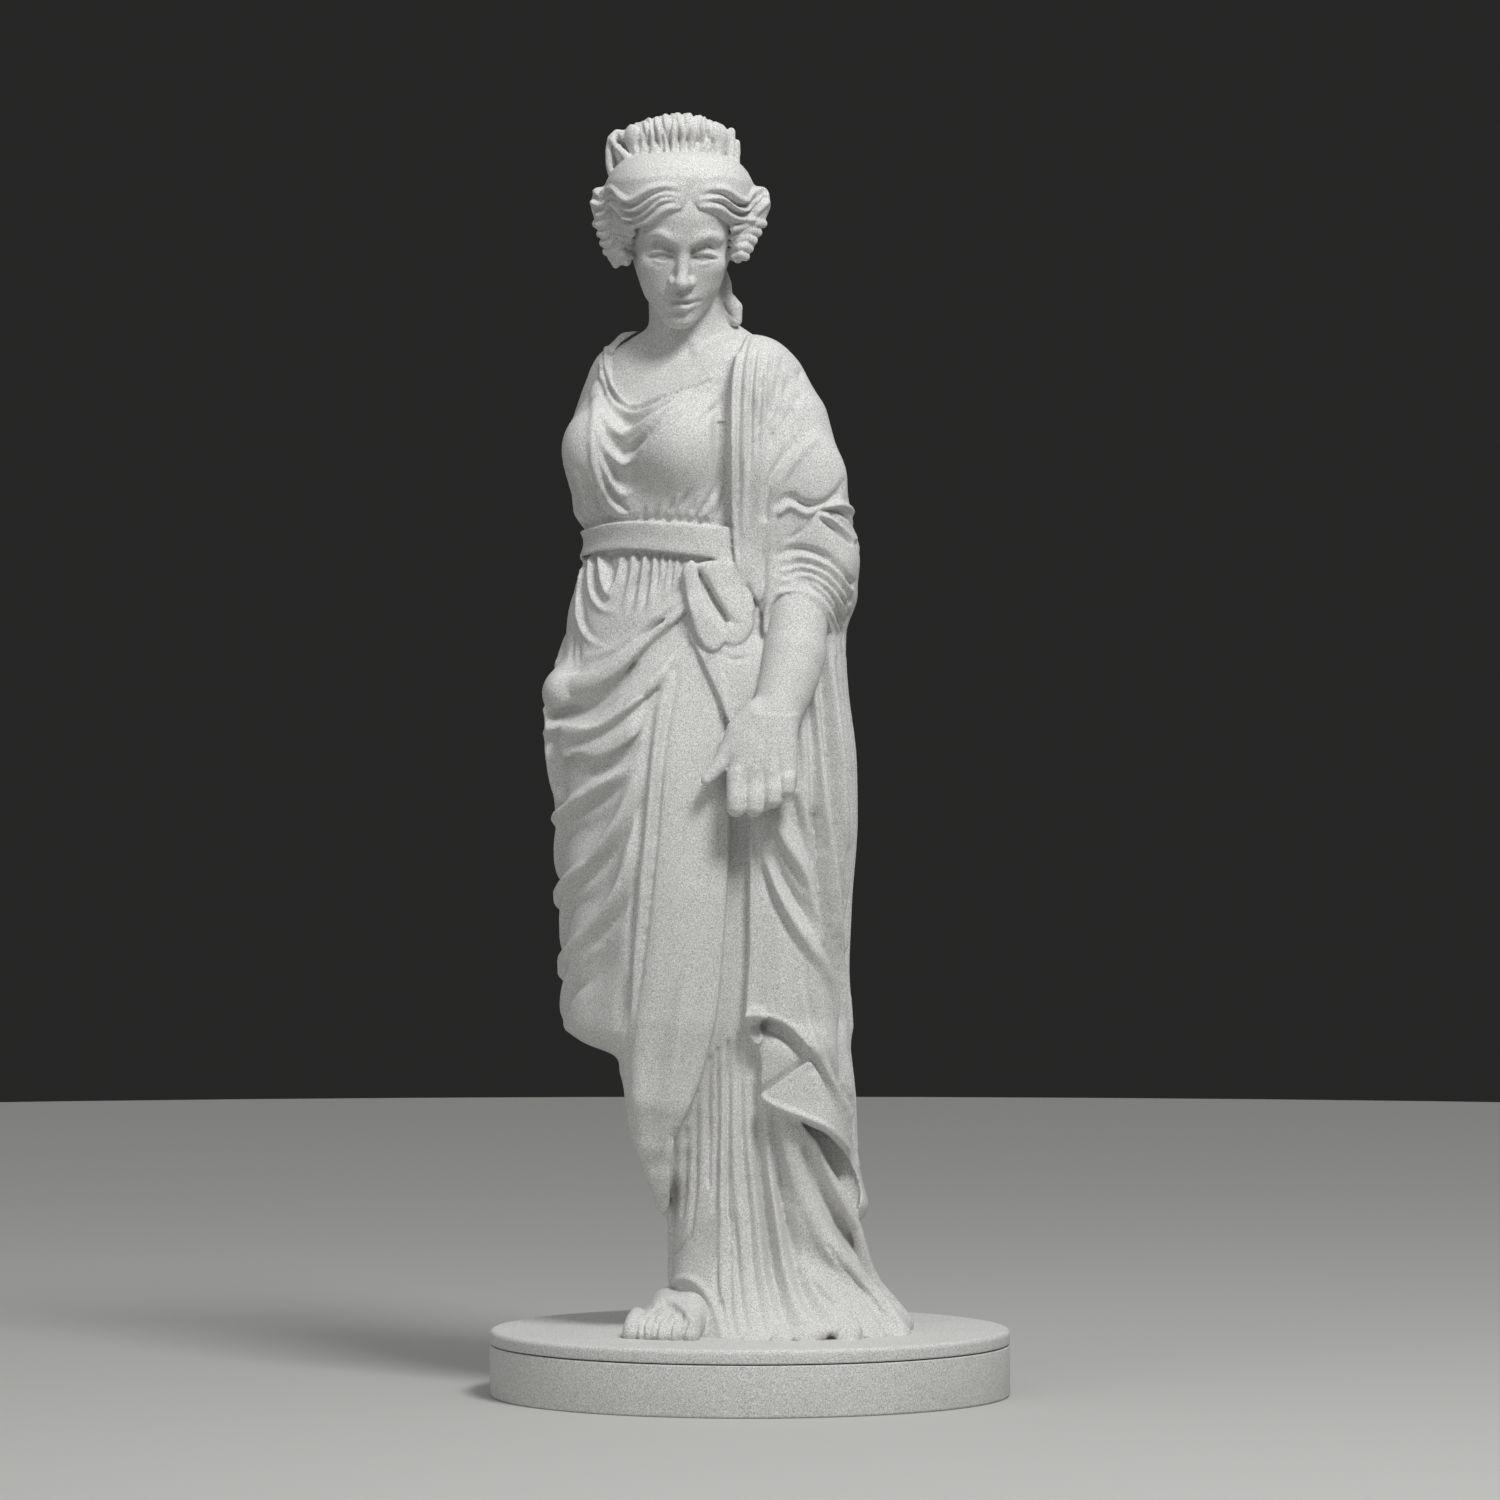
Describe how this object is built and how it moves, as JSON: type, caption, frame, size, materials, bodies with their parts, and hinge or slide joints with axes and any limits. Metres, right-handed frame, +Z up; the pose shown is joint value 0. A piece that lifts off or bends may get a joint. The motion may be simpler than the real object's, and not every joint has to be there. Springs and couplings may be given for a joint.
{
  "type": "resin goddess statue",
  "caption": "Standing robed goddess figure in cast resin on a low round plinth, an ornament that stands on its flat underside.",
  "frame": {"origin": "centre of the plinth's underside", "axes": "+Z up from the underside to the crown of the hair, the front of the figure faces -Y, +X is to the right of a viewer in front"},
  "size_m": [0.13, 0.13, 0.32],
  "materials": {
    "cast_stone_resin": "matte, with a very fine sandy grain"
  },
  "bodies": {
    "root": {"figure_with_base_disc": "cast_stone_resin", "plinth_drum": "cast_stone_resin"}
  },
  "joints": []
}
